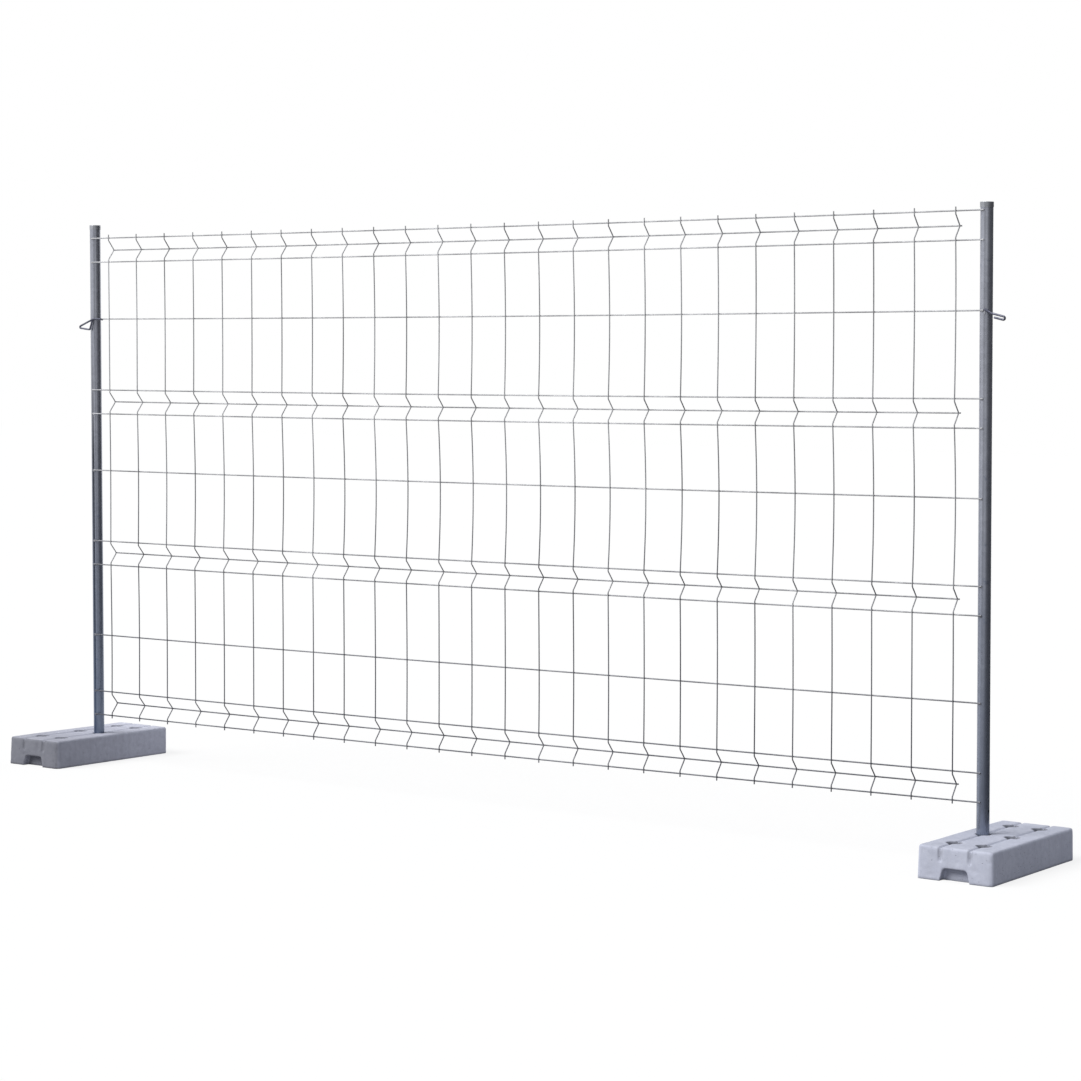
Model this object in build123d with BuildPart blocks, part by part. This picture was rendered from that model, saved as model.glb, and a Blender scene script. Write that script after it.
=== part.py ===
"""Temporary fence panel: folded wire mesh between two tube posts that stand in concrete feet.

Sizes are in millimetres. X runs along the panel, Y points away from the side that the mesh is
welded to, and Z points up. The origin is on the ground, midway between the two feet.
"""
import os
from math import cos, hypot, radians, sin, tan

from build123d import *

# Posts
post_spacing = 3500.0       # between the two post axes
post_diameter = 38.0
post_wall = 1.5
post_rise = 1845.0          # open end of the tube above the top of the feet
vent_diameter = 9.0         # drain hole in the outer side of each post
vent_height = 70.0          # above the top of the feet
cap_skirt = 14.0            # how far the cap reaches down the post
cap_wall = 0.9
cap_top = 2.0
cap_edge = 1.2
cap_clearance = 0.1

# How the panel stands in its loose sockets
lean = 2.0                  # degrees forward, towards the mesh side
seat_gap = 0.2              # between the post's lowest edge and the socket floor

# Wire mesh
wire_sides = 6              # the round wires are drawn as bars with flat sides
upright_diameter = 3.2
rail_diameter = 3.8
weld_sink = 0.5             # how far two crossing wires are pressed into each other
upright_count = 26
upright_margin = 87.5       # from the post's axis to the outermost upright wire
fold_height = 86.0          # of each V-shaped fold, between its two edge rails
fold_depth = 29.0
short_gap = 205.0           # from a fold's edge rail to the middle rail of the bay beside it
top_margin = 34.0           # from the tube's open end down to the top rail, at mid panel
bottom_margin = 84.0        # from the bottom rail down to the top of the feet, at mid panel
mesh_climb = 24.0           # how much higher the racked mesh sits at the right post
top_stub = 12.0             # of the upright wires, past the top rail
bottom_stub = 10.0
tip_rail_stub = 12.0        # of the rails in the folds, past the outermost upright wires

# Coupling hooks
rod_diameter = 6.5
rod_bend = 7.0              # centre-line radius of a bend
eye_weld_end = 50.0         # from the post's axis to the welded end of the rod
eye_bar = 38.0              # the part that lies on the rail
eye_top = 66.0
eye_bottom = 38.0
eye_return = 28.5
eye_drop_angle = 18.0
eye_tip_angle = 160.5
eye_return_angle = 60.5
hook_start = 3.0            # beside the end of the rail
hook_start_height = 1.0
hook_weld_angle = 27.5      # how steeply the rod leaves the post
hook_weld_length = 27.0
hook_straighten_angle = 16.0
hook_top = 37.0
hook_return = 23.5
hook_gap = 6.0              # free gap between the two legs

# Concrete feet
foot_width = 238.0
foot_length = 584.0
foot_height = 97.0
foot_draft = 1.5            # degrees, on all four sides
foot_corner = 14.0
foot_edge = 7.0
foot_floor = 15.0           # concrete left under the sockets
socket_clearance = 0.55     # beside the leaning post, at the socket's rim and floor
socket_rim = 2.5
socket_column_spacing = 92.0
socket_row_spacing = 196.0
socket_column_count = 2
socket_row_count = 3
groove_width = 9.0
groove_depth = 6.0
groove_drop = 42.0          # how far the grooves run down the ends of the foot
handhold_width = 92.0
handhold_top_width = 74.0
handhold_height = 36.0
handhold_depth = 26.0
handhold_corner = 12.0

# The panel's own frame leans with the posts, and starts at the level of the posts' lower ends
post_radius = post_diameter / 2
lean_sin = sin(radians(lean))
lean_cos = cos(radians(lean))
lean_tan = tan(radians(lean))
socket_depth = foot_height - foot_floor
socket_radius = post_radius / lean_cos + lean_tan * socket_depth / 2 + socket_clearance
seat_height = foot_floor + seat_gap + post_radius * lean_sin
seat_shift = lean_tan * (foot_floor + socket_depth / 2 - seat_height)
buried_length = (foot_height - seat_height) / lean_cos
post_length = buried_length + post_rise
panel = Plane(
    origin=(0, seat_shift, seat_height),
    x_dir=(1, 0, 0),
    z_dir=(0, -lean_sin, lean_cos),
)
stand = Plane(
    origin=panel.from_local_coords((post_spacing / 2, 0, 0)),
    x_dir=panel.x_dir,
    z_dir=panel.z_dir,
)

# Levels of the rails, counted down from the top rail
bay_height = (post_rise - top_margin - bottom_margin - 4 * fold_height) / 3
long_gap = bay_height - short_gap
gaps_below_top = [short_gap, long_gap, short_gap, long_gap, long_gap, short_gap]
flat_levels = [0.0, fold_height]
tip_levels = [fold_height / 2]
for upper_gap, lower_gap in zip(gaps_below_top[0::2], gaps_below_top[1::2]):
    fold_top = flat_levels[-1] + upper_gap + lower_gap
    flat_levels += [flat_levels[-1] + upper_gap, fold_top, fold_top + fold_height]
    tip_levels += [fold_top + fold_height / 2]
mesh_height = flat_levels[-1]
top_rail_height = post_length - top_margin
rail_centre = -(post_radius + rail_diameter / 2)
upright_offset = (rail_diameter + upright_diameter) / 2 - weld_sink
upright_centre = rail_centre - upright_offset
upright_span = post_spacing - 2 * upright_margin
climb_slope = mesh_climb / post_spacing
rail_direction = panel.x_dir + panel.z_dir * climb_slope

# Wires, folded in a plane across the panel
fold_plane = Plane(
    origin=panel.from_local_coords((0, upright_centre, top_rail_height)),
    x_dir=panel.y_dir,
    z_dir=panel.x_dir,
)
fold_points = [(0, top_stub)]
for tip_level in tip_levels:
    fold_points += [
        (0, fold_height / 2 - tip_level),
        (fold_depth, -tip_level),
        (0, -fold_height / 2 - tip_level),
    ]
fold_points += [(0, -mesh_height - bottom_stub)]

with BuildPart() as folded_wire:
    with BuildLine(fold_plane) as fold_line:
        Polyline(*fold_points)
    with BuildSketch(
        Plane(origin=fold_line.line @ 0, x_dir=panel.x_dir, z_dir=fold_line.line % 0)
    ):
        RegularPolygon(upright_diameter / 2, wire_sides, major_radius=False)
    sweep(transition=Transition.RIGHT)

upright_places = [
    rail_direction * (upright_span * (place / (upright_count - 1) - 0.5))
    for place in range(upright_count)
]
flat_rail_length = hypot(post_spacing, mesh_climb)
tip_rail_share = (upright_span / 2 + tip_rail_stub) / (post_spacing / 2)

with BuildPart() as wire_mesh:
    with Locations(*upright_places):
        add(folded_wire.part)
    for level in flat_levels:
        rail_middle = panel.from_local_coords((0, rail_centre, top_rail_height - level))
        with BuildSketch(
            Plane(
                origin=rail_middle - rail_direction * (post_spacing / 2),
                x_dir=panel.z_dir,
                z_dir=rail_direction,
            )
        ):
            RegularPolygon(rail_diameter / 2, wire_sides, major_radius=False)
    extrude(amount=flat_rail_length)
    for level in tip_levels:
        rail_middle = panel.from_local_coords(
            (0, rail_centre + fold_depth, top_rail_height - level)
        )
        with BuildSketch(
            Plane(
                origin=rail_middle - rail_direction * (tip_rail_share * post_spacing / 2),
                x_dir=panel.z_dir,
                z_dir=rail_direction,
            )
        ):
            RegularPolygon(rail_diameter / 2, wire_sides, major_radius=False)
    extrude(amount=flat_rail_length * tip_rail_share)

# Posts, with a drain hole in the outer side
with BuildPart() as right_post:
    with BuildSketch(stand):
        Circle(post_radius)
        Circle(post_radius - post_wall, mode=Mode.SUBTRACT)
    extrude(amount=post_length)
    with BuildSketch(
        Plane(
            origin=stand.from_local_coords((0, 0, buried_length + vent_height)),
            x_dir=panel.y_dir,
            z_dir=panel.x_dir,
        )
    ):
        Circle(vent_diameter / 2)
    extrude(amount=post_diameter, mode=Mode.SUBTRACT)

with BuildPart() as left_post:
    mirror(right_post.part, about=Plane.YZ)

# Caps over the open ends of the tubes
with BuildPart() as right_cap:
    with BuildSketch(stand.offset(post_length - cap_skirt)):
        Circle(post_radius + cap_clearance + cap_wall)
    extrude(amount=cap_skirt + cap_top)
    fillet(right_cap.faces().sort_by(Axis.Z)[-1].edges(), cap_edge)
    with BuildSketch(stand.offset(post_length - cap_skirt)):
        Circle(post_radius + cap_clearance)
    extrude(amount=cap_skirt, mode=Mode.SUBTRACT)

with BuildPart() as left_cap:
    mirror(right_cap.part, about=Plane.YZ)

# Coupling eye: a rod on the front of the third rail, bent into a three-cornered loop
coupling_height = top_rail_height - flat_levels[2]
eye_plane = Plane(
    origin=panel.from_local_coords(
        (
            -post_spacing / 2,
            -(post_radius + rail_diameter + rod_diameter / 2),
            coupling_height - mesh_climb / 2,
        )
    ),
    x_dir=panel.x_dir,
    z_dir=-panel.y_dir,
)
with BuildLine() as eye_line:
    on_rail = Line((eye_weld_end, 0), (eye_weld_end - eye_bar, 0))
    drop = JernArc(on_rail @ 1, on_rail % 1, rod_bend, eye_drop_angle)
    upper_leg = PolarLine(drop @ 1, eye_top, direction=drop % 1)
    tip = JernArc(upper_leg @ 1, upper_leg % 1, rod_bend, eye_tip_angle)
    lower_leg = PolarLine(tip @ 1, eye_bottom, direction=tip % 1)
    heel = JernArc(lower_leg @ 1, lower_leg % 1, rod_bend, eye_return_angle)
    PolarLine(heel @ 1, eye_return, direction=heel % 1)
eye_path = eye_plane.from_local_coords(eye_line.line)

with BuildPart() as left_coupling_eye:
    with BuildSketch(Plane(origin=eye_path @ 0, z_dir=eye_path % 0)):
        Circle(rod_diameter / 2)
    sweep(path=eye_path)

# Coupling hook: a rod on the front of the post, bent back beside itself like a hairpin
hook_plane = Plane(
    origin=panel.from_local_coords(
        (
            post_spacing / 2,
            -(post_radius + rod_diameter / 2),
            coupling_height + mesh_climb / 2,
        )
    ),
    x_dir=panel.x_dir,
    z_dir=-panel.y_dir,
)
with BuildLine() as hook_line:
    on_post = PolarLine((hook_start, hook_start_height), hook_weld_length, -hook_weld_angle)
    straighten = JernArc(on_post @ 1, on_post % 1, rod_bend, hook_straighten_angle)
    long_leg = PolarLine(straighten @ 1, hook_top, direction=straighten % 1)
    turn = JernArc(long_leg @ 1, long_leg % 1, (rod_diameter + hook_gap) / 2, -180)
    PolarLine(turn @ 1, hook_return, direction=turn % 1)
hook_path = hook_plane.from_local_coords(hook_line.line)

with BuildPart() as right_coupling_hook:
    with BuildSketch(Plane(origin=hook_path @ 0, z_dir=hook_path % 0)):
        Circle(rod_diameter / 2)
    sweep(path=hook_path)

# Concrete feet: each post stands in the middle socket of the column nearer the panel's middle
foot_ground = Plane(origin=(post_spacing / 2 + socket_column_spacing / 2, 0, 0))
foot_top = foot_ground.offset(foot_height)
end_inset = foot_height * tan(radians(foot_draft))

with BuildPart() as right_foot:
    with BuildSketch(foot_ground):
        RectangleRounded(foot_width, foot_length, foot_corner)
    extrude(amount=foot_height, taper=foot_draft)
    fillet(right_foot.edges().group_by(Axis.Z)[-1], foot_edge)
    with BuildSketch(foot_top):
        with GridLocations(
            socket_column_spacing, socket_row_spacing, socket_column_count, socket_row_count
        ):
            Circle(socket_radius)
    extrude(amount=-socket_depth, mode=Mode.SUBTRACT)
    rims = right_foot.edges().filter_by(GeomType.CIRCLE).group_by(Axis.Z)[-1]
    chamfer(rims, socket_rim)
    with BuildSketch(foot_top):
        with GridLocations(socket_column_spacing, 0, socket_column_count, 1):
            Rectangle(groove_width, foot_length)
    extrude(amount=-groove_depth, mode=Mode.SUBTRACT)
    for end in (-1, 1):
        with BuildSketch(
            Plane(
                origin=(foot_ground.origin.X, end * foot_length / 2, 0),
                x_dir=(-end, 0, 0),
                z_dir=(0, end, 0),
            )
        ) as end_cuts:
            with Locations((0, foot_height - groove_drop / 2)):
                with GridLocations(socket_column_spacing, 0, socket_column_count, 1):
                    Rectangle(groove_width, groove_drop)
        extrude(amount=-(end_inset + groove_depth), mode=Mode.SUBTRACT)
        with BuildSketch(
            Plane(
                origin=(foot_ground.origin.X, end * foot_length / 2, 0),
                x_dir=(-end, 0, 0),
                z_dir=(0, end, 0),
            )
        ) as handhold:
            with BuildLine():
                Polyline(
                    (-handhold_width / 2, 0),
                    (-handhold_top_width / 2, handhold_height),
                    (handhold_top_width / 2, handhold_height),
                    (handhold_width / 2, 0),
                    close=True,
                )
            make_face()
            fillet(handhold.vertices().group_by(Axis.Y)[-1], handhold_corner)
        extrude(amount=-handhold_depth, mode=Mode.SUBTRACT)

with BuildPart() as left_foot:
    mirror(right_foot.part, about=Plane.YZ)

os.makedirs("parts", exist_ok=True)
wire_mesh.part.label = "wire_mesh"
left_post.part.label = "left_post"
right_post.part.label = "right_post"
left_cap.part.label = "left_cap"
right_cap.part.label = "right_cap"
left_coupling_eye.part.label = "left_coupling_eye"
right_coupling_hook.part.label = "right_coupling_hook"
left_foot.part.label = "left_foot"
right_foot.part.label = "right_foot"
export_step(wire_mesh.part, "parts/wire_mesh.step")
export_step(left_post.part, "parts/left_post.step")
export_step(right_post.part, "parts/right_post.step")
export_step(left_cap.part, "parts/left_cap.step")
export_step(right_cap.part, "parts/right_cap.step")
export_step(left_coupling_eye.part, "parts/left_coupling_eye.step")
export_step(right_coupling_hook.part, "parts/right_coupling_hook.step")
export_step(left_foot.part, "parts/left_foot.step")
export_step(right_foot.part, "parts/right_foot.step")
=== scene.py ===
"""Temporary fence panel: folded wire mesh on two tube posts that stand in concrete feet."""
from math import atan2, ceil, hypot, pi, radians, sin, cos, tan

import bmesh
import bpy
from mathutils import Matrix, Vector, noise


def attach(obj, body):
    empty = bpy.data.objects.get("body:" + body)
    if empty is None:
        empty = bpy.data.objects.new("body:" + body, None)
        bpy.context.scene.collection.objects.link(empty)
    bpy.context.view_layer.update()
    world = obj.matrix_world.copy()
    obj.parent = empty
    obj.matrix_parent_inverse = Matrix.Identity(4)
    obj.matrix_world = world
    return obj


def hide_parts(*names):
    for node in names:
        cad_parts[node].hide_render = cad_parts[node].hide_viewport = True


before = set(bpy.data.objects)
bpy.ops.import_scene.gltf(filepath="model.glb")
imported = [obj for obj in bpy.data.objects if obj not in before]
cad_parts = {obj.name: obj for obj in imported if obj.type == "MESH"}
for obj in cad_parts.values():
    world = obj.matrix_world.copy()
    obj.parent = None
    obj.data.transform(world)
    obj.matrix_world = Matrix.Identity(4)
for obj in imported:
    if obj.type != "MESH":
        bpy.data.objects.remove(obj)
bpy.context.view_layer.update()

MM = 0.001

# Sizes of the panel, as in the solids, in metres
post_spacing = 3500 * MM
post_radius = 19 * MM
post_rise = 1845 * MM
lean = radians(2)
seat_gap = 0.2 * MM
upright_radius = 1.6 * MM
rail_radius = 1.9 * MM
weld_sink = 0.5 * MM
upright_count = 26
upright_margin = 87.5 * MM
fold_height = 86 * MM
fold_depth = 29 * MM
short_gap = 205 * MM
top_margin = 34 * MM
bottom_margin = 84 * MM
mesh_climb = 24 * MM
top_stub = 12 * MM
bottom_stub = 10 * MM
rod_radius = 3.25 * MM
foot_height = 97 * MM
foot_floor = 15 * MM

# What the drawn wire adds to the solids: rounded folds, a slight bow and a slight sag
fold_bend = 7 * MM
fold_start = 9 * MM
drawn_tip_stub = 5 * MM
# Bow of each bay in mm at six even stations from the left post to the right one, top bay first
bay_bows = (
    (0.8, 1.5, 5.2, 7.2, 3.0, 4.2),
    (2.0, 5.8, 10.2, 11.8, 10.2, 9.4),
    (1.6, 0.6, 1.8, 3.0, 1.7, 1.0),
)
mesh_sag = 4 * MM
wire_wander = 0.8 * MM
zinc_coat = 0.38 * MM
wire_sides = 10
bay_pieces = 8
rail_pieces = 54

# Feet, and what casting makes of their grooves
foot_length = 584 * MM
foot_draft = radians(1.5)
socket_column = 46 * MM
socket_row = 196 * MM
foot_centre = post_spacing / 2 + socket_column
socket_radius = 21 * MM
groove_width = 9 * MM
groove_edge = 1.5 * MM
drawn_groove_depth = 2.5 * MM
end_groove_depth = 9 * MM
end_groove_heights = (foot_height - 48 * MM, foot_height - 9 * MM)
grain_size = 2.8 * MM
flat_underside = 1.5 * MM
smoothing_passes = 3
# Roughness of the concrete: waves per metre, and how far in mm each kind moves the surface
broad_waves, close_waves, chip_waves = 9, 55, 38
broad_move, close_move, chip_move = 0.7, 0.35, 2.2
chip_limit = 0.32

socket_depth = foot_height - foot_floor
seat_height = foot_floor + seat_gap + post_radius * sin(lean)
seat_shift = tan(lean) * (foot_floor + socket_depth / 2 - seat_height)
buried_length = (foot_height - seat_height) / cos(lean)
post_length = buried_length + post_rise
top_rail_height = post_length - top_margin
bay_height = (post_rise - top_margin - bottom_margin - 4 * fold_height) / 3
long_gap = bay_height - short_gap
fold_tops = [fold * (fold_height + bay_height) for fold in range(4)]
middle_levels = [
    fold_height + short_gap,
    fold_tops[1] + fold_height + short_gap,
    fold_tops[2] + fold_height + long_gap,
]
flat_levels = sorted(
    fold_tops + [top + fold_height for top in fold_tops] + middle_levels
)
tip_levels = [top + fold_height / 2 for top in fold_tops]
rail_centre = -(post_radius + rail_radius)
upright_centre = rail_centre - (rail_radius + upright_radius - weld_sink)
upright_span = post_spacing - 2 * upright_margin
upright_pitch = upright_span / (upright_count - 1)
panel_frame = Matrix.Translation((0, seat_shift, seat_height)) @ Matrix.Rotation(lean, 4, "X")


# Bars, pulled and bent

bend_step = radians(13)


def ring_edges(parts):
    return [part for part in parts if isinstance(part, bmesh.types.BMEdge) and part.is_boundary]


def without_repeats(parts):
    """Each part once, in the order given."""
    return list(dict.fromkeys(parts))


def ring_verts(edges):
    return without_repeats(vert for edge in edges for vert in edge.verts)


def first_ring(bm, centre, heading, radius, sides):
    turn = Vector((0, 0, 1)).rotation_difference(heading).to_matrix().to_4x4()
    made = bmesh.ops.create_circle(
        bm, segments=sides, radius=radius, matrix=Matrix.Translation(centre) @ turn
    )
    edges = without_repeats(edge for vert in made["verts"] for edge in vert.link_edges)
    bmesh.ops.edgeloop_fill(bm, edges=edges)
    return edges


def pull_ring(bm, edges, travel, pieces=1):
    for piece in range(pieces):
        made = bmesh.ops.extrude_edge_only(bm, edges=edges)["geom"]
        verts = [part for part in made if isinstance(part, bmesh.types.BMVert)]
        bmesh.ops.translate(bm, vec=travel / pieces, verts=verts)
        edges = ring_edges(made)
    return edges


def put_faces_in_order(bm):
    """Sorts the faces by their points; pulled edges and spheres list them anew in each run."""
    bm.verts.index_update()
    point_count = len(bm.verts)

    def place_of(face):
        first, second, third = sorted(vert.index for vert in face.verts)[:3]
        return (first * point_count + second) * point_count + third

    bm.faces.sort(key=place_of)


def bend_bar(bm, start, heading, axis, moves, radius, sides):
    """A round bar in one plane. A move is a straight, its pieces, a turn and the bend's radius."""
    point, heading, axis = Vector(start), Vector(heading).normalized(), Vector(axis)
    edges = first_ring(bm, point, heading, radius, sides)
    for straight, pieces, turn, bend in moves:
        edges = pull_ring(bm, edges, heading * straight, pieces)
        point += heading * straight
        if turn:
            centre = point + axis.cross(heading) * (bend if turn > 0 else -bend)
            spun = bmesh.ops.spin(
                bm,
                geom=edges + ring_verts(edges),
                cent=centre,
                axis=axis,
                angle=turn,
                steps=max(2, ceil(abs(turn) / bend_step)),
            )
            edges = ring_edges(spun["geom_last"])
            turned = Matrix.Rotation(turn, 3, axis)
            point = centre + turned @ (point - centre)
            heading = turned @ heading
    bmesh.ops.edgeloop_fill(bm, edges=edges)
    put_faces_in_order(bm)


def mesh_from(bm, name):
    mesh = bpy.data.meshes.new(name)
    bm.to_mesh(mesh)
    bm.free()
    return mesh


def bent_bar(name, *shape):
    bar = bmesh.new()
    bend_bar(bar, *shape)
    return mesh_from(bar, name)


def stamp(bm, mesh, place):
    """Adds a copy of the mesh to bm, moved to its place."""
    mesh.transform(place)
    bm.from_mesh(mesh)
    mesh.transform(place.inverted())


def finish_piece(bm, name, material, replaces=(), sharp=40):
    bmesh.ops.recalc_face_normals(bm, faces=bm.faces)
    mesh = mesh_from(bm, name)
    mesh.polygons.foreach_set("use_smooth", [True] * len(mesh.polygons))
    mesh.set_sharp_from_angle(angle=radians(sharp))
    mesh.materials.append(material)
    piece = bpy.data.objects.new(name, mesh)
    bpy.context.scene.collection.objects.link(piece)
    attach(piece, "root")
    if replaces:
        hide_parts(*replaces)
    return piece


# Materials

# Where painted shade darkens the zinc, standing in for dark reflections low down and on the left:
# heights and places along the panel in metres, from full to none
low_grime_heights = (0.3, 1.35)
left_grime_places = (-1.8, -1.2)
# The painted dark reflection band on the left post: the lean of the post's axis, and where the band
# lies around it
post_slope = -0.035
streak_turn = radians(4)
streak_edges = (radians(12), radians(24))
streak_heights = (1.1, 1.6)
# How far up a surface has to face before dust lies on it, and where the dust is full
dust_slopes = (0.0, 0.8)
# Where the concrete gets painted shade: a painted contact shadow along its lower edge, the facing
# limits of its painted end and top shade, and how far the painted shade reaches around grooves and
# sockets
damp_heights = (0.001, 0.009)
facing_limits = (0.35, 0.85)
notch_heights = (foot_height - 45 * MM, foot_height - 20 * MM)
groove_shade_edges = (6 * MM, 11 * MM)
socket_shade_edges = (socket_radius + 1.5 * MM, socket_radius + 5 * MM)
mouth_shade_edges = (socket_radius + 7 * MM, socket_radius + 12 * MM)
# Turns a place along the foot into -1 at its near end and 1 at its far end
per_half_foot = 3.4
# Corners between two sides are painted paler: a painted highlight on their rounding
rubbed_limits, rubbed_gain = (0.25, 0.5), 1.14
# Blow holes, in the share of the cells above the limit; the dark inside them is painted shade
blow_hole_scale, blow_hole_edges, blow_hole_limit = 95.0, (0.10, 0.22), 0.72

effect_outputs = [
    ("Color", "NodeSocketColor"),
    ("Roughness", "NodeSocketFloat"),
    ("Height", "NodeSocketFloat"),
]


def add_node(tree, kind, inputs=None, **settings):
    made = tree.nodes.new(kind)
    for key, value in settings.items():
        setattr(made, key, value)
    for key, value in (inputs or {}).items():
        if isinstance(value, bpy.types.NodeSocket):
            tree.links.new(value, made.inputs[key])
        else:
            made.inputs[key].default_value = value
    return made


def open_group(name, colours, numbers, outputs):
    tree = bpy.data.node_groups.new(name, "ShaderNodeTree")
    for label in colours:
        tree.interface.new_socket(name=label, in_out="INPUT", socket_type="NodeSocketColor")
    for label in numbers:
        tree.interface.new_socket(name=label, in_out="INPUT", socket_type="NodeSocketFloat")
    for label, kind in outputs:
        tree.interface.new_socket(name=label, in_out="OUTPUT", socket_type=kind)
    given = tree.nodes.new("NodeGroupInput").outputs
    result = tree.nodes.new("NodeGroupOutput").inputs
    return tree, given, result


def math(tree, operation, first, second=0.0, clamp=False):
    return add_node(
        tree, "ShaderNodeMath", {0: first, 1: second}, operation=operation, use_clamp=clamp
    ).outputs[0]


def ramp(tree, value, low, high, to_low=0.0, to_high=1.0):
    return add_node(
        tree,
        "ShaderNodeMapRange",
        {"Value": value, "From Min": low, "From Max": high, "To Min": to_low, "To Max": to_high},
    ).outputs["Result"]


def blend(tree, factor, first, second, how="MIX"):
    made = add_node(tree, "ShaderNodeMix", data_type="RGBA", blend_type=how)
    given = ((made.inputs[0], factor), (made.inputs[6], first), (made.inputs[7], second))
    for socket, value in given:
        if isinstance(value, bpy.types.NodeSocket):
            tree.links.new(value, socket)
        else:
            socket.default_value = value
    return made.outputs[2]


def spots(tree, place, scale, detail=2.0, roughness=0.5):
    return add_node(
        tree,
        "ShaderNodeTexNoise",
        {"Vector": place, "Scale": scale, "Detail": detail, "Roughness": roughness},
    ).outputs["Fac"]


def stretched(tree, place, scale):
    return add_node(tree, "ShaderNodeMapping", {"Vector": place, "Scale": scale}).outputs[0]


def tinted(tree, colour, shade):
    """The colour times a plain shade."""
    grey = add_node(tree, "ShaderNodeCombineColor", {0: shade, 1: shade, 2: shade}).outputs[0]
    return blend(tree, 1.0, colour, grey, "MULTIPLY")


def zinc_group():
    """Hot-dip zinc: spangle, run marks, bloom, scuffs, dust on top, painted shade that darkens it
    near the ground and on the left, and a painted dark reflection band on the left post.
    """
    tree, given, result = open_group(
        "weathered_zinc",
        ["Bright", "Dull", "Grime"],
        [
            "Spangle Scale", "Run Scale", "Low Grime", "Left Grime",
            "Top Grime", "Streak", "Tone Change", "Roughness",
        ],
        effect_outputs,
    )
    coordinates = add_node(tree, "ShaderNodeTexCoord").outputs
    place = coordinates["Object"]
    parts = add_node(tree, "ShaderNodeSeparateXYZ", {0: place}).outputs
    facing = add_node(tree, "ShaderNodeSeparateXYZ", {0: coordinates["Normal"]}).outputs
    spangle = add_node(
        tree, "ShaderNodeTexVoronoi", {"Vector": place, "Scale": given["Spangle Scale"]}
    ).outputs["Color"]
    spangle = add_node(tree, "ShaderNodeSeparateColor", {0: spangle}).outputs[0]
    runs = spots(tree, stretched(tree, place, (1, 1, 0.04)), given["Run Scale"], 3)
    bloom = spots(tree, place, 7.0, 5, 0.6)
    worn = math(tree, "ADD", math(tree, "MULTIPLY", runs, 0.5), math(tree, "MULTIPLY", bloom, 0.5))
    colour = blend(tree, ramp(tree, worn, 0.38, 0.62), given["Bright"], given["Dull"])
    colour = tinted(tree, colour, ramp(tree, spangle, 0, 1, 0.93, 1.07))
    # Each wire and each stretch of tube has its own tone
    tone = ramp(tree, spots(tree, stretched(tree, place, (7.4, 1, 2.1)), 1.0, 1), 0.3, 0.7, -1, 1)
    tone = math(tree, "ADD", math(tree, "MULTIPLY", tone, given["Tone Change"]), 1.0)
    colour = tinted(tree, colour, tone)
    scuffs = ramp(tree, spots(tree, place, 34.0, 3, 0.6), 0.66, 0.74)
    low = ramp(tree, parts["Z"], *low_grime_heights, 1.0, 0.0)
    left = ramp(tree, parts["X"], *left_grime_places, 1.0, 0.0)
    # A painted dark reflection band down the left post, on the side that faces the front
    forward = math(tree, "SUBTRACT", math(tree, "MULTIPLY", parts["Z"], post_slope), parts["Y"])
    turn = math(tree, "ARCTAN2", math(tree, "ADD", parts["X"], post_spacing / 2), forward)
    turn = math(tree, "ABSOLUTE", math(tree, "ADD", turn, streak_turn))
    streak = math(tree, "MULTIPLY", left, ramp(tree, turn, *streak_edges, 1.0, 0.0))
    streak = math(tree, "MULTIPLY", streak, ramp(tree, parts["Z"], *streak_heights, 1.0, 0.0))
    streak = math(tree, "MULTIPLY", streak, given["Streak"])
    colour = tinted(tree, colour, math(tree, "SUBTRACT", 1.0, streak))
    left = math(tree, "MULTIPLY", left, given["Left Grime"])
    # Painted shade towards the ground and the left, standing in for dark reflections, shares one
    # colour with the real scuffs and dust
    grime = math(tree, "MULTIPLY", low, math(tree, "ADD", given["Low Grime"], left))
    grime = math(tree, "ADD", grime, math(tree, "MULTIPLY", scuffs, 0.3), True)
    dust = math(tree, "MULTIPLY", ramp(tree, facing["Z"], *dust_slopes), given["Top Grime"])
    grime = math(tree, "MAXIMUM", grime, dust)
    colour = blend(tree, grime, colour, given["Grime"])
    tree.links.new(colour, result["Color"])
    polish = math(tree, "MULTIPLY", ramp(tree, worn, 0.3, 0.7, 0.8, 1.2), given["Roughness"])
    tree.links.new(polish, result["Roughness"])
    fine = math(tree, "MULTIPLY", spots(tree, place, 420.0, 2), 0.5)
    tree.links.new(math(tree, "ADD", fine, math(tree, "MULTIPLY", spangle, 0.3)), result["Height"])
    return tree


def socket_masks(tree, parts):
    """Two masks for painted shade: the six sockets of each foot with their mouths, and the two
    grooves through them.
    """
    across = math(tree, "SUBTRACT", math(tree, "ABSOLUTE", parts["X"]), foot_centre)
    across = math(tree, "SUBTRACT", math(tree, "ABSOLUTE", across), socket_column)
    nearest = math(tree, "SNAP", math(tree, "ADD", parts["Y"], socket_row / 2), socket_row)
    along = math(tree, "SUBTRACT", parts["Y"], nearest)
    away = add_node(tree, "ShaderNodeCombineXYZ", {0: across, 1: along, 2: 0.0}).outputs[0]
    away = add_node(tree, "ShaderNodeVectorMath", {0: away}, operation="LENGTH").outputs["Value"]
    grooves = ramp(tree, math(tree, "ABSOLUTE", across), *groove_shade_edges, 1.0, 0.0)
    inside = ramp(tree, away, *socket_shade_edges, 1.0, 0.0)
    mouths = ramp(tree, away, *mouth_shade_edges, 1.0, 0.0)
    return math(tree, "MAXIMUM", inside, math(tree, "MULTIPLY", mouths, grooves)), grooves


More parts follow.
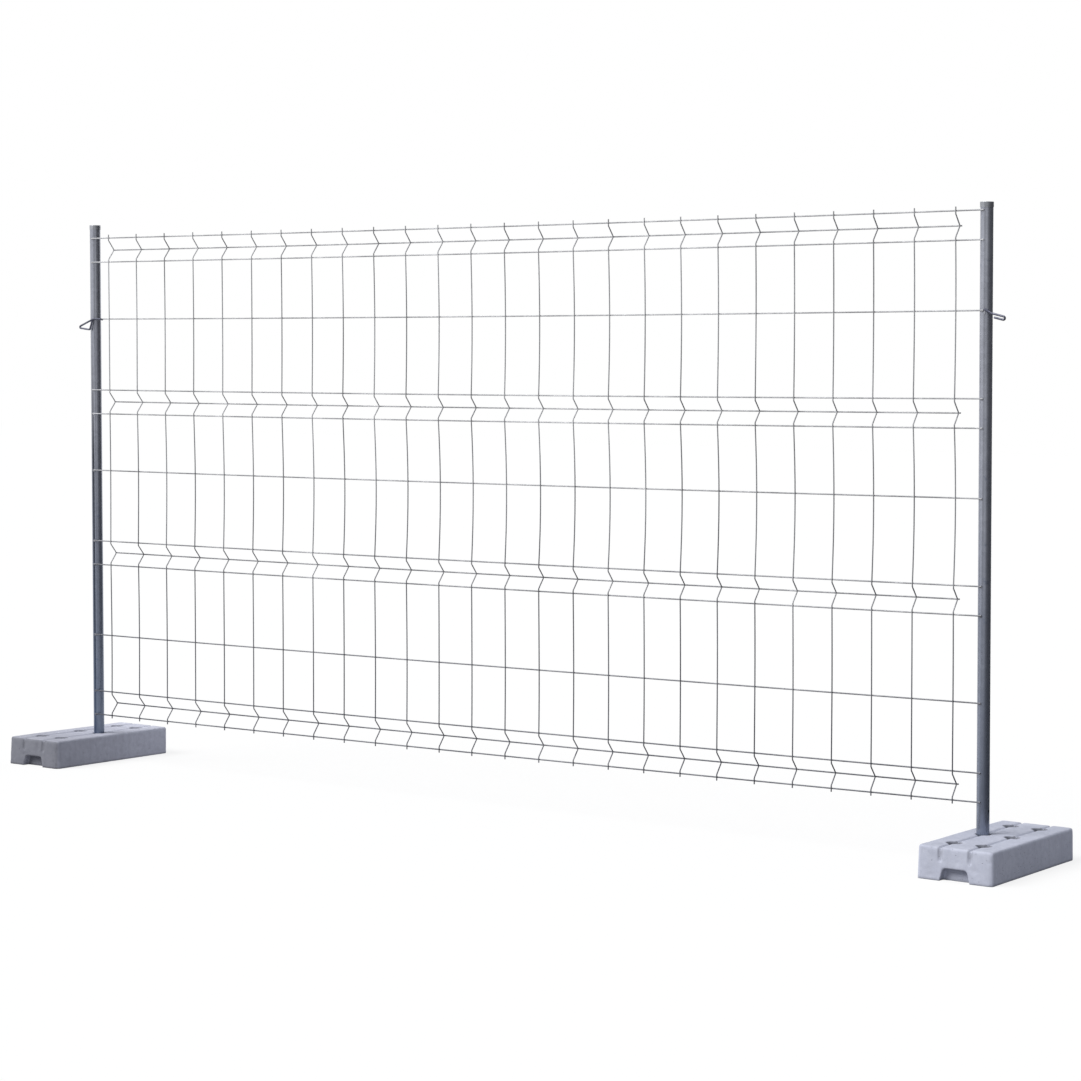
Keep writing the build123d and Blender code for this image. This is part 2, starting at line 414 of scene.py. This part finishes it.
def concrete_group():
    """Cast concrete: grains, mottling, blotches, blow holes, run marks, a painted contact shadow
    along the lower edge, and painted light and shade on its ends, top, far side, corners, sockets and
    grooves.
    """
    tree, given, result = open_group(
        "cast_concrete",
        ["Pale", "Dark", "Stain"],
        ["Stain Amount", "Blotch Scale", "End Shade", "Top Shade", "Far Shade", "Socket Shade"],
        effect_outputs,
    )
    coordinates = add_node(tree, "ShaderNodeTexCoord").outputs
    place = coordinates["Object"]
    parts = add_node(tree, "ShaderNodeSeparateXYZ", {0: place}).outputs
    facing = add_node(tree, "ShaderNodeSeparateXYZ", {0: coordinates["Normal"]}).outputs
    grains = spots(tree, place, 520.0, 2)
    mottle = spots(tree, place, 60.0, 6, 0.65)
    blotch = spots(tree, place, given["Blotch Scale"], 4, 0.6)
    runs = spots(tree, stretched(tree, place, (1, 1, 0.12)), 34.0, 3)
    tone = math(tree, "MULTIPLY", mottle, 0.45)
    tone = math(tree, "ADD", tone, math(tree, "MULTIPLY", blotch, 0.35))
    tone = math(tree, "ADD", tone, math(tree, "MULTIPLY", grains, 0.2))
    colour = blend(tree, ramp(tree, tone, 0.36, 0.64), given["Pale"], given["Dark"])
    # Run marks are real stains; their colour also paints the contact shadow below and the shade in
    # blow holes
    stain = math(tree, "MULTIPLY", ramp(tree, runs, 0.5, 0.7), given["Stain Amount"])
    # Painted contact shadow along the lower edge
    damp = ramp(tree, parts["Z"], *damp_heights, 0.5, 0.0)
    colour = blend(tree, math(tree, "ADD", stain, damp, True), colour, given["Stain"])
    # Blow holes: real pits in the bump, darkened with painted shade
    cells = add_node(tree, "ShaderNodeTexVoronoi", {"Vector": place, "Scale": blow_hole_scale})
    picked = add_node(tree, "ShaderNodeSeparateColor", {0: cells.outputs["Color"]}).outputs[0]
    hole = ramp(tree, cells.outputs["Distance"], *blow_hole_edges, 1.0, 0.0)
    hole = math(tree, "MULTIPLY", hole, math(tree, "GREATER_THAN", picked, blow_hole_limit))
    colour = blend(tree, math(tree, "MULTIPLY", hole, 0.5), colour, given["Stain"])
    # Painted shade on the ends and top: lit differently from the long sides
    ends = ramp(tree, math(tree, "ABSOLUTE", facing["Y"]), *facing_limits)
    tops = ramp(tree, facing["Z"], *facing_limits)
    for mask, shade in ((ends, given["End Shade"]), (tops, given["Top Shade"])):
        change = math(tree, "MULTIPLY", mask, math(tree, "SUBTRACT", shade, 1.0))
        colour = tinted(tree, colour, math(tree, "ADD", change, 1.0))
    # Painted shade: lighter or darker towards the far end
    far = math(tree, "MULTIPLY", parts["Y"], per_half_foot)
    far = math(tree, "MULTIPLY", far, given["Far Shade"])
    colour = tinted(tree, colour, math(tree, "ADD", far, 1.0))
    # Painted highlight on the corners between two sides
    rubbed = math(tree, "ABSOLUTE", math(tree, "MULTIPLY", facing["X"], facing["Y"]))
    colour = tinted(tree, colour, ramp(tree, rubbed, *rubbed_limits, 1.0, rubbed_gain))
    # Painted shade in the sockets, around their mouths along the grooves, and in the groove notches
    # down the ends
    sockets, grooves = socket_masks(tree, parts)
    notches = math(tree, "MULTIPLY", ends, ramp(tree, parts["Z"], *notch_heights))
    notches = math(tree, "MULTIPLY", grooves, notches)
    darker = math(tree, "SUBTRACT", given["Socket Shade"], 1.0)
    hollow = math(tree, "MULTIPLY", math(tree, "MULTIPLY", notches, 0.5), darker)
    colour = tinted(tree, colour, math(tree, "ADD", hollow, 1.0))
    shaded = math(tree, "MULTIPLY", sockets, darker)
    colour = tinted(tree, colour, math(tree, "ADD", shaded, 1.0))
    tree.links.new(colour, result["Color"])
    tree.links.new(ramp(tree, mottle, 0.3, 0.7, 0.82, 0.96), result["Roughness"])
    height = math(tree, "MULTIPLY", grains, 0.35)
    height = math(tree, "ADD", height, math(tree, "MULTIPLY", mottle, 0.65))
    tree.links.new(math(tree, "SUBTRACT", height, hole), result["Height"])
    return tree


def open_material(name):
    made = bpy.data.materials.new(name)
    made.use_nodes = True
    return made, made.node_tree, made.node_tree.nodes["Principled BSDF"]


def grouped_material(name, group, values, metallic, depth, strength):
    made, tree, surface = open_material(name)
    effect = add_node(tree, "ShaderNodeGroup", node_tree=group)
    for key, value in values.items():
        effect.inputs[key].default_value = (*value, 1) if isinstance(value, tuple) else value
    bump = add_node(
        tree,
        "ShaderNodeBump",
        {"Height": effect.outputs["Height"], "Distance": depth, "Strength": strength},
    )
    surface.inputs["Metallic"].default_value = metallic
    tree.links.new(effect.outputs["Color"], surface.inputs["Base Color"])
    tree.links.new(effect.outputs["Roughness"], surface.inputs["Roughness"])
    tree.links.new(bump.outputs["Normal"], surface.inputs["Normal"])
    return made


def zinc(name, metallic, **values):
    values = {label.replace("_", " ").title(): value for label, value in values.items()}
    return grouped_material(name, weathered_zinc, values, metallic, 0.1 * MM, 0.6)


def concrete(name, **values):
    values = {label.replace("_", " ").title(): value for label, value in values.items()}
    return grouped_material(name, cast_concrete, values, 0, 1.2 * MM, 0.7)


weathered_zinc = zinc_group()
cast_concrete = concrete_group()
# The low and left amounts paint dark reflections as shade on the zinc
wire_zinc = zinc(
    "wire_zinc", 0.55,
    bright=(0.46, 0.465, 0.48), dull=(0.34, 0.345, 0.36), grime=(0.05, 0.055, 0.075),
    spangle_scale=260, run_scale=90, low_grime=0.76, left_grime=0.1, top_grime=0.6,
    streak=0, tone_change=0.35, roughness=0.5,
)
tube_zinc = zinc(
    "tube_zinc", 0.68,
    bright=(0.375, 0.39, 0.445), dull=(0.315, 0.33, 0.385), grime=(0.08, 0.118, 0.20),
    spangle_scale=70, run_scale=60, low_grime=0.5, left_grime=0.2, top_grime=0,
    streak=0.88, tone_change=0.06, roughness=0.27,
)
cap_zinc = zinc(
    "cap_zinc", 0.68,
    bright=(0.40, 0.41, 0.45), dull=(0.29, 0.305, 0.33), grime=(0.10, 0.11, 0.12),
    spangle_scale=120, run_scale=80, low_grime=0, left_grime=0, top_grime=0,
    streak=0, tone_change=0.1, roughness=0.3,
)
rod_zinc = zinc(
    "rod_zinc", 0.6,
    bright=(0.13, 0.135, 0.18), dull=(0.06, 0.064, 0.095), grime=(0.025, 0.027, 0.045),
    spangle_scale=160, run_scale=80, low_grime=0, left_grime=0, top_grime=0,
    streak=0, tone_change=0.1, roughness=0.4,
)
# Pale weld beads: their paleness is a painted glint
bead_zinc = zinc(
    "bead_zinc", 0.3,
    bright=(0.56, 0.57, 0.62), dull=(0.36, 0.37, 0.41), grime=(0.14, 0.14, 0.17),
    spangle_scale=300, run_scale=200, low_grime=0.6, left_grime=0, top_grime=0,
    streak=0, tone_change=0.3, roughness=0.5,
)
# Two copies of one concrete, each with the light and shade of its own foot painted into its colours
pale_concrete = concrete(
    "pale_concrete",
    pale=(0.58, 0.605, 0.71), dark=(0.47, 0.495, 0.60), stain=(0.26, 0.275, 0.33),
    stain_amount=0.12, blotch_scale=7, end_shade=1.04, top_shade=0.88,
    far_shade=0.03, socket_shade=0.45,
)
dark_concrete = concrete(
    "dark_concrete",
    pale=(0.66, 0.68, 0.79), dark=(0.51, 0.525, 0.625), stain=(0.25, 0.25, 0.30),
    stain_amount=0.15, blotch_scale=6, end_shade=0.48, top_shade=0.77,
    far_shade=0.22, socket_shade=0.75,
)


# Wire mesh

def folded_upright():
    """One upright wire with four folds: its straights on the Z axis, the top rail at the origin."""
    slope_height = fold_height / 2 - fold_start
    half_turn = atan2(fold_depth, slope_height)
    flat_trim = fold_bend * tan(half_turn / 2)
    tip_trim = fold_bend * tan(half_turn)
    leg = hypot(fold_depth, slope_height) - flat_trim - tip_trim
    flat = fold_start - flat_trim
    moves = [(top_stub + flat, 1, half_turn, fold_bend)]
    for fold in range(len(fold_tops)):
        moves.append((leg, 1, -2 * half_turn, fold_bend))
        moves.append((leg, 1, half_turn, fold_bend))
        if fold < len(fold_tops) - 1:
            moves.append((bay_height + 2 * flat, bay_pieces, half_turn, fold_bend))
    moves.append((bottom_stub + flat, 1, 0, 0))
    return bent_bar(
        "upright_pattern", (0, 0, top_stub), (0, 0, -1), (1, 0, 0), moves,
        upright_radius + zinc_coat, wire_sides,
    )


def weld_nugget():
    nugget = bmesh.new()
    squash = Matrix.Diagonal((1.35, 0.8, 1.2, 1))
    bmesh.ops.create_uvsphere(nugget, u_segments=7, v_segments=5, radius=1.9 * MM, matrix=squash)
    put_faces_in_order(nugget)
    return mesh_from(nugget, "nugget_pattern")


def bow_at(x, level):
    """How far the mesh bows backwards at a place, with the level counted down from the top rail."""
    for top, stations in zip(fold_tops, bay_bows):
        share = (level - top - fold_height) / bay_height
        if 0 < share < 1:
            across = (x / post_spacing + 0.5) * (len(stations) - 1)
            left = min(len(stations) - 2, max(0, int(across)))
            ease = min(1.0, max(0.0, across - left))
            ease = ease * ease * (3 - 2 * ease)
            depth = stations[left] * (1 - ease) + stations[left + 1] * ease
            return 4 * share * (1 - share) * depth * MM
    return 0.0


def settle(vert):
    """Racks, sags and bows a point of the flat mesh, whose Z is counted from the top rail."""
    x, level = vert.co.x, -vert.co.z
    end_distance = post_spacing / 2 - abs(x)
    held = min(1.0, max(0.0, end_distance / upright_margin))
    vert.co.y += bow_at(x, level) * held
    vert.co.y += wire_wander * held * noise.noise(Vector((x * 1.7, 3.1, level * 2.3)))
    vert.co.x += wire_wander * held * noise.noise(Vector((x * 5.3, 9.7, level * 3.1)))
    vert.co.z += mesh_climb * x / post_spacing - mesh_sag * (1 - (2 * x / post_spacing) ** 2)


def draw_mesh():
    sheet = bmesh.new()
    places = [upright_pitch * (place - (upright_count - 1) / 2) for place in range(upright_count)]
    rails = [(level, rail_centre, post_spacing / 2) for level in flat_levels]
    rails += [
        (level, rail_centre + fold_depth, upright_span / 2 + drawn_tip_stub) for level in tip_levels
    ]
    upright, nugget = folded_upright(), weld_nugget()
    for place in places:
        stamp(sheet, upright, Matrix.Translation((place, upright_centre, 0)))
    weld_depth = -(rail_radius - weld_sink / 2)
    for level, depth, half in rails:
        rail = bent_bar(
            "rail_pattern", (-half, depth, -level), (1, 0, 0), (0, 0, 1),
            [(2 * half, rail_pieces, 0, 0)], rail_radius + zinc_coat, wire_sides,
        )
        sheet.from_mesh(rail)
        bpy.data.meshes.remove(rail)
        for place in places:
            stamp(sheet, nugget, Matrix.Translation((place, depth + weld_depth, -level)))
    bpy.data.meshes.remove(upright)
    bpy.data.meshes.remove(nugget)
    for vert in sheet.verts:
        settle(vert)
    bmesh.ops.translate(sheet, vec=(0, 0, top_rail_height), verts=sheet.verts)
    bmesh.ops.transform(sheet, matrix=panel_frame, verts=sheet.verts)
    finish_piece(sheet, "welded_wire_mesh", wire_zinc, ["wire_mesh"], 60)


draw_mesh()


# Coupling rods

def place_rod(name, node, post_x, depth, start, slope, moves):
    """A bent rod in the panel's plane, in mm and degrees, from the post and its middle rail."""
    rod = bmesh.new()
    level = top_rail_height - middle_levels[0] + mesh_climb * post_x / post_spacing
    angle = radians(slope)
    bend_bar(
        rod,
        (post_x + start[0] * MM, depth, level + start[1] * MM),
        (cos(angle), 0, sin(angle)),
        (0, -1, 0),
        [(length * MM, pieces, radians(turn), bend * MM) for length, pieces, turn, bend in moves],
        rod_radius,
        16,
    )
    bmesh.ops.transform(rod, matrix=panel_frame, verts=rod.verts)
    finish_piece(rod, name, rod_zinc, [node], 50)


place_rod(
    "left_eye_rod", "left_coupling_eye", -post_spacing / 2, -26.05 * MM, (50, 0), 180,
    [(36.6, 3, 21.7, 7), (66.0, 4, 151.8, 4.2), (40.9, 3, 75, 4.5), (31.5, 2, 0, 0)],
)
place_rod(
    "right_hook_rod", "right_coupling_hook", post_spacing / 2, -22.25 * MM, (3, 4), -27.5,
    [(26.0, 2, 14.0, 7), (38.0, 3, -180, 4.9), (28.0, 2, 0, 0)],
)


# Weld beads

# Each kind of bead has its own run of lump patterns
upper_bead_seed, rod_bead_seed, hook_bead_seed = 40, 70, 90


def add_bead(bm, centre, size, seed):
    made = bmesh.ops.create_icosphere(
        bm, subdivisions=3, radius=1,
        matrix=Matrix.Translation(centre) @ Matrix.Diagonal((*size, 1)),
    )
    for vert in made["verts"]:
        away = vert.co - Vector(centre)
        lump = noise.noise(vert.co * 260 + Vector((seed * 3.7, 0, 0)))
        vert.co += away * 0.35 * lump


def place_post_welds(side, sign):
    beads = bmesh.new()
    post_axis = sign * post_spacing / 2
    front = -(post_radius + 0.1 * MM)
    for count, level in enumerate(flat_levels):
        wander = noise.noise(Vector((count * 1.3, sign, 4.2)))
        height = top_rail_height - level + sign * mesh_climb / 2
        size = ((4.6 + 1.6 * wander) * MM, 1.5 * MM, (2.0 + 0.8 * wander) * MM)
        inward = (3.0 + 2 * wander) * MM
        centre = (post_axis - sign * inward, front, height - rail_radius - 1.4 * MM)
        add_bead(beads, centre, size, count)
        size = ((2.4 - wander) * MM, 0.8 * MM, 0.7 * MM)
        centre = (post_axis - sign * 4 * MM, front, height + rail_radius)
        add_bead(beads, centre, size, count + upper_bead_seed)
    if side == "right":
        # The bead under the hook's rail end, pale as a painted glint
        hook_level = top_rail_height - middle_levels[0] + mesh_climb / 2
        centre = (post_axis + 3 * MM, front, hook_level - 7 * MM)
        add_bead(beads, centre, (2.6 * MM, 1.8 * MM, 4.6 * MM), hook_bead_seed)
    bmesh.ops.transform(beads, matrix=panel_frame, verts=beads.verts)
    # The rail welds are pale as a painted glint
    finish_piece(beads, side + "_rail_welds", bead_zinc, (), 60)


def place_rod_welds(name, post_x, welds):
    """Beads on a rod; each is its place, then its three half sizes, in mm from the post and rail."""
    beads = bmesh.new()
    level = top_rail_height - middle_levels[0] + mesh_climb * post_x / post_spacing
    for count, (across, depth, up, *size) in enumerate(welds):
        centre = (post_x + across * MM, depth * MM, level + up * MM)
        add_bead(beads, centre, [part * MM for part in size], count + rod_bead_seed)
    bmesh.ops.transform(beads, matrix=panel_frame, verts=beads.verts)
    finish_piece(beads, name, rod_zinc, (), 60)


place_post_welds("left", -1)
place_post_welds("right", 1)
place_rod_welds(
    "left_eye_welds", -post_spacing / 2,
    [
        (7, -25.8, -2.2, 5.4, 3.8, 4.2),
        (40, -23.4, -2.6, 5.0, 1.8, 2.0),
        (52, -22.6, -3.2, 4.0, 1.6, 1.8),
    ],
)
place_rod_welds(
    "right_hook_welds", post_spacing / 2,
    [(12, -19.0, 2.5, 4.2, 1.8, 1.8)],
)


# Feet, softened and roughened as concrete leaves the mould

def shallow_end_groove(vert):
    """The grooves run out down the ends, where they are only a faint hollow."""
    across = abs(abs(abs(vert.co.x) - foot_centre) - socket_column)
    low, high = end_groove_heights
    if across > groove_width / 2 + groove_edge or not low < vert.co.z < high:
        return
    face = foot_length / 2 - vert.co.z * tan(foot_draft)
    if face - end_groove_depth < abs(vert.co.y) < face - drawn_groove_depth:
        vert.co.y = (face - drawn_groove_depth) * (1 if vert.co.y > 0 else -1)


def cast_foot(node, name, material, seed):
    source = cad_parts[node]
    rough = bmesh.new()
    rough.from_mesh(source.data)
    bmesh.ops.remove_doubles(rough, verts=rough.verts, dist=0.01 * MM)
    mesh = bpy.data.meshes.new(name + "_mould")
    rough.to_mesh(mesh)
    rough.free()
    mould = bpy.data.objects.new(name + "_mould", mesh)
    bpy.context.scene.collection.objects.link(mould)
    remesh = mould.modifiers.new("grain", "REMESH")
    remesh.mode = "VOXEL"
    remesh.voxel_size = grain_size
    graph = bpy.context.evaluated_depsgraph_get()
    fine = bpy.data.meshes.new_from_object(mould.evaluated_get(graph))
    bpy.data.objects.remove(mould)
    bpy.data.meshes.remove(mesh)
    block = bmesh.new()
    block.from_mesh(fine)
    bpy.data.meshes.remove(fine)
    for smoothing in range(smoothing_passes):
        bmesh.ops.smooth_vert(
            block, verts=block.verts, factor=0.5,
            use_axis_x=True, use_axis_y=True, use_axis_z=True,
        )
    block.normal_update()
    shift = Vector((seed, 0, 0))
    moves = []
    for vert in block.verts:
        broad = noise.noise((vert.co + shift) * broad_waves)
        close = noise.noise((vert.co + shift) * close_waves)
        chips = max(0.0, noise.noise((vert.co + shift) * chip_waves) - chip_limit)
        move = broad_move * broad + close_move * close - chip_move * chips
        moves.append(vert.normal * move * MM)
    for vert, move in zip(block.verts, moves):
        flat = vert.co.z < flat_underside
        shallow_end_groove(vert)
        vert.co += move
        vert.co.z = 0 if flat else max(0.0, vert.co.z)
    finish_piece(block, name, material, [node], 80)


cast_foot("left_foot", "left_cast_foot", dark_concrete, 3.0)
cast_foot("right_foot", "right_cast_foot", pale_concrete, 11.0)

for node, material in (
    ("left_post", tube_zinc),
    ("right_post", tube_zinc),
    ("left_cap", cap_zinc),
    ("right_cap", cap_zinc),
):
    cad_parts[node].data.materials.clear()
    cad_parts[node].data.materials.append(material)


# Floor, backdrop and light

floor_size = 60
floor_shade = (0.20, 0.20, 0.21, 1)
seen_floor_shade, seen_floor_glow = (0.16, 0.16, 0.16, 1), 0.82
sky_shade = (0.47, 0.48, 0.51, 1)
white = (1, 1, 1, 1)
cloth_tint = (1, 0.99, 1, 1)
sun_strength, sun_width, sun_colour = 2.9, radians(40), (1.0, 0.99, 0.97)
towards_sun = (-0.40, -0.57, 0.72)
# The drape: where it starts, how it runs out and up in metres, and its brightness by degrees
drape_start = radians(-12)
drape_near, drape_run, drape_rise, drape_steps = 1.2, 6.8, 6, 36
drape_shades = [(-12, 0.46), (8, 0.42), (28, 0.72), (46, 0.62), (60, 0.20), (88, 0.05)]
flag_centre, flag_size, flag_turn, flag_shade = (-2.37, -1.03, 0.55), (0.62, 1.1), radians(-31), 0.02


def white_to_camera(tree, plain, seen_shade):
    """Shows white to the camera and in reflections, and the plain shade to all other light."""
    path = add_node(tree, "ShaderNodeLightPath")
    seen = math(tree, "MAXIMUM", path.outputs["Is Camera Ray"], path.outputs["Is Glossy Ray"])
    seen = math(tree, "MAXIMUM", seen, path.outputs["Is Transmission Ray"])
    return add_node(tree, "ShaderNodeMixShader", {0: seen, 1: plain, 2: seen_shade}).outputs[0]


def place_stage(bm, name, material):
    mesh = mesh_from(bm, name)
    mesh.materials.append(material)
    made = bpy.data.objects.new(name, mesh)
    bpy.context.scene.collection.objects.link(made)
    return made


def lay_floor():
    bm = bmesh.new()
    bmesh.ops.create_grid(bm, x_segments=1, y_segments=1, size=floor_size)
    made, tree, surface = open_material("pale_floor")
    surface.inputs["Roughness"].default_value = 1.0
    surface.inputs["Specular IOR Level"].default_value = 0.0
    surface.inputs["Base Color"].default_value = floor_shade
    diffuse = add_node(tree, "ShaderNodeBsdfDiffuse", {"Color": seen_floor_shade})
    glow = add_node(tree, "ShaderNodeEmission", {"Color": white, "Strength": seen_floor_glow})
    lit = add_node(tree, "ShaderNodeAddShader", {0: diffuse.outputs[0], 1: glow.outputs[0]})
    shown = white_to_camera(tree, surface.outputs[0], lit.outputs[0])
    tree.links.new(shown, tree.nodes["Material Output"].inputs["Surface"])
    place_stage(bm, "studio_floor", made)


def reflected_only(piece):
    """The zinc shows the piece, but it neither shades the object nor stands in the picture."""
    piece.visible_camera = False
    piece.visible_shadow = False
    piece.visible_diffuse = False
    piece.visible_transmission = False


def dark_cloth(name, shades):
    """A cloth of one brightness, or of (degrees from the front, brightness) around the studio."""
    made, tree, surface = open_material(name)
    glow = add_node(tree, "ShaderNodeEmission", {"Color": cloth_tint})
    if isinstance(shades, list):
        place = add_node(tree, "ShaderNodeTexCoord").outputs["Object"]
        parts = add_node(tree, "ShaderNodeSeparateXYZ", {0: place}).outputs
        turn = math(tree, "ARCTAN2", parts["X"], math(tree, "MULTIPLY", parts["Y"], -1.0))
        share = ramp(tree, turn, drape_start, drape_start + pi)
        bands = add_node(tree, "ShaderNodeValToRGB", {0: share})
        for count, (angle, shade) in enumerate(shades):
            stops = bands.color_ramp.elements
            stop = stops[count] if count < len(stops) else stops.new(1.0)
            stop.position = (radians(angle) - drape_start) / pi
            stop.color = (shade, shade, shade, 1)
        tree.links.new(bands.outputs[0], glow.inputs["Color"])
    else:
        glow.inputs["Strength"].default_value = shades
    tree.links.new(glow.outputs[0], tree.nodes["Material Output"].inputs["Surface"])
    tree.nodes.remove(surface)
    return made


def hang_drape():
    """A dark cloth on the floor and up the right-hand side of the studio, for the zinc to reflect."""
    bm = bmesh.new()
    last = bmesh.ops.create_vert(bm, co=(0, -drape_near, 4 * MM))["vert"]
    edges = []
    for travel in ((0, -drape_run, 0), (0, 0, drape_rise)):
        made = bmesh.ops.extrude_vert_indiv(bm, verts=last)
        last = made["verts"]
        edges += made["edges"]
        bmesh.ops.translate(bm, vec=travel, verts=last)
    start = Matrix.Rotation(drape_start, 3, "Z")
    bmesh.ops.rotate(bm, cent=(0, 0, 0), matrix=start, verts=bm.verts)
    bmesh.ops.spin(
        bm, geom=edges + ring_verts(edges), cent=(0, 0, 0), axis=(0, 0, 1),
        angle=radians(180), steps=drape_steps,
    )
    reflected_only(place_stage(bm, "drape", dark_cloth("drape_cloth", drape_shades)))


def stand_flag():
    """A small black board close to the left foot, reflected in the lower part of the left post."""
    bm = bmesh.new()
    turned = Matrix.Translation(flag_centre) @ Matrix.Rotation(flag_turn, 4, "Z")
    place = turned @ Matrix.Rotation(pi / 2, 4, "X")
    bmesh.ops.create_grid(
        bm, x_segments=1, y_segments=1, size=0.5,
        matrix=place @ Matrix.Diagonal((*flag_size, 1, 1)),
    )
    reflected_only(place_stage(bm, "flag", dark_cloth("flag_cloth", flag_shade)))


def light_scene():
    world = bpy.data.worlds.new("studio")
    bpy.context.scene.world = world
    world.use_nodes = True
    tree = world.node_tree
    tree.nodes.clear()
    dim = add_node(tree, "ShaderNodeBackground", {"Color": sky_shade, "Strength": 1.0})
    bright = add_node(tree, "ShaderNodeBackground", {"Color": white, "Strength": 1.0})
    shown = white_to_camera(tree, dim.outputs[0], bright.outputs[0])
    output = add_node(tree, "ShaderNodeOutputWorld")
    tree.links.new(shown, output.inputs["Surface"])
    sun = bpy.data.lights.new("soft_sun", "SUN")
    sun.energy = sun_strength
    sun.angle = sun_width
    sun.color = sun_colour
    lamp = bpy.data.objects.new("soft_sun", sun)
    bpy.context.scene.collection.objects.link(lamp)
    lamp.rotation_euler = Vector(towards_sun).to_track_quat("Z", "Y").to_euler()


lay_floor()
hang_drape()
stand_flag()
light_scene()

# Camera, at the photograph's place; lengths in its pixels
picture_width = 1081
focal_length = 2700
view_row, middle_row = 437.3, 540.5
film_width = 36
camera_place = (5.047, -7.289, 1.356)
view_yaw = radians(33.82)
view_pitch = radians(0.88)
view_roll = radians(1.07)
camera = bpy.data.cameras.new("camera")
camera.sensor_width = film_width
camera.lens = film_width * focal_length / picture_width
camera.shift_y = (view_row - middle_row) / picture_width
camera.clip_end = 200
stand = bpy.data.objects.new("camera", camera)
bpy.context.scene.collection.objects.link(stand)
stand.matrix_world = (
    Matrix.Translation(camera_place)
    @ Matrix.Rotation(view_yaw, 4, "Z")
    @ Matrix.Rotation(pi / 2 - view_pitch, 4, "X")
    @ Matrix.Rotation(view_roll, 4, "Z")
)
bpy.context.scene.camera = stand
bpy.context.scene.view_settings.view_transform = "Standard"
